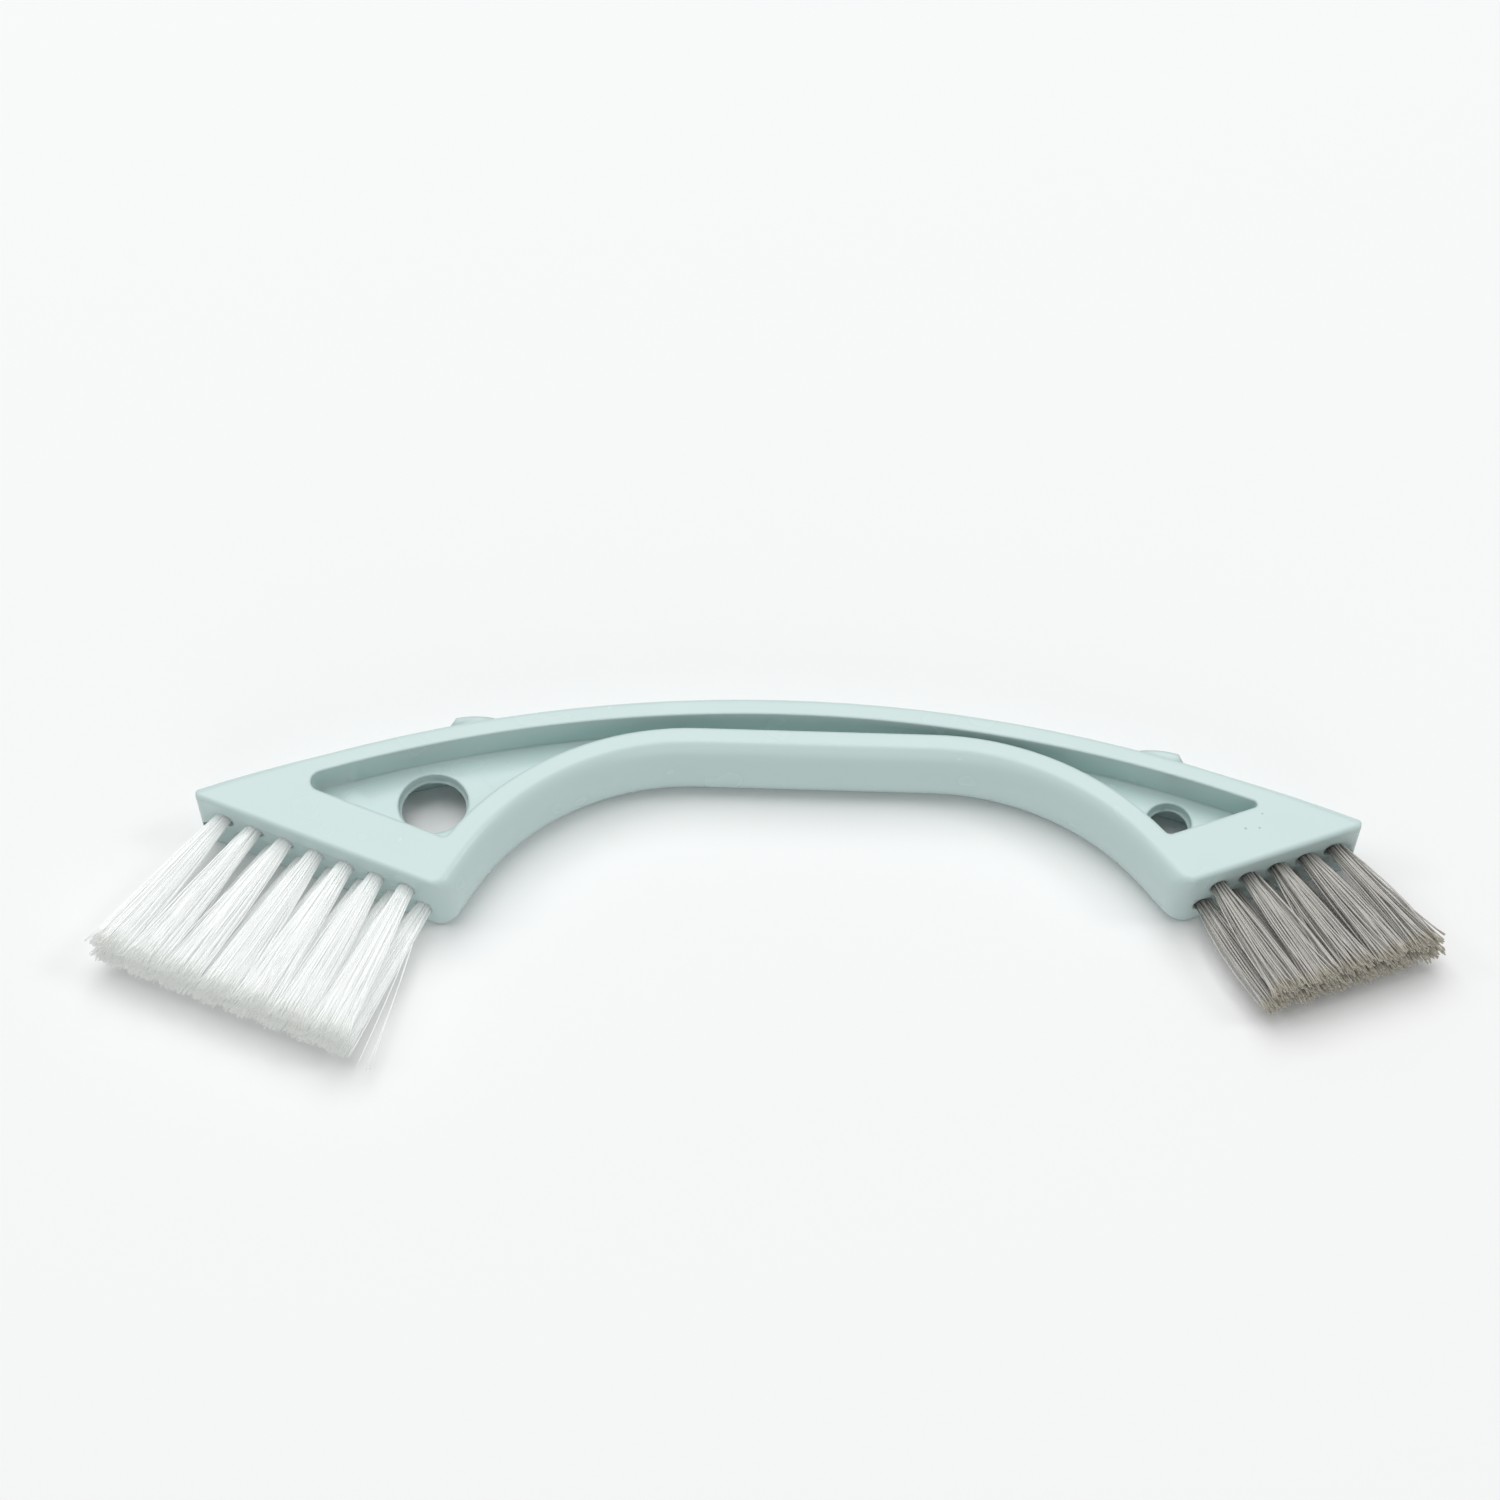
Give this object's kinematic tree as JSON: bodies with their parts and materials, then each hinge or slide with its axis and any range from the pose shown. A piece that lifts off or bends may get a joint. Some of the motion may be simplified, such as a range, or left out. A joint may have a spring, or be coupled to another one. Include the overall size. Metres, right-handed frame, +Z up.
{
  "type": "grout brush",
  "caption": "Flat arched brush handle with a wide slanted head of fine bristles at one end, a narrow head of thick bristles at the other, and a hanging hole beside each.",
  "frame": {"origin": "middle of the part's box, on the flat underside that it rests on", "axes": "+X from the wide head to the narrow head, +Y towards the convex back edge, +Z up through the thickness"},
  "size_m": [0.2198, 0.0664, 0.013],
  "materials": {
    "handle": "glossy pale aqua moulded plastic",
    "white_bristle": "fine white nylon",
    "grey_bristle": "thick translucent grey nylon",
    "anchor": "plain steel strip"
  },
  "bodies": {
    "root": {"handle": "handle", "white_tuft_01": "white_bristle", "white_tuft_02": "white_bristle", "white_tuft_03": "white_bristle", "white_tuft_04": "white_bristle", "white_tuft_05": "white_bristle", "white_tuft_06": "white_bristle", "white_tuft_07": "white_bristle", "white_tuft_08": "white_bristle", "white_tuft_09": "white_bristle", "white_tuft_10": "white_bristle", "white_tuft_11": "white_bristle", "white_tuft_12": "white_bristle", "white_tuft_13": "white_bristle", "white_tuft_14": "white_bristle", "white_tuft_15": "white_bristle", "grey_tuft_01": "grey_bristle", "grey_tuft_02": "grey_bristle", "grey_tuft_03": "grey_bristle", "grey_tuft_04": "grey_bristle", "grey_tuft_05": "grey_bristle", "grey_tuft_06": "grey_bristle", "grey_tuft_07": "grey_bristle", "grey_tuft_08": "grey_bristle", "grey_tuft_09": "grey_bristle", "grey_tuft_10": "grey_bristle", "grey_tuft_11": "grey_bristle", "white_tuft_anchors": "anchor", "grey_tuft_anchors": "anchor"}
  },
  "joints": []
}
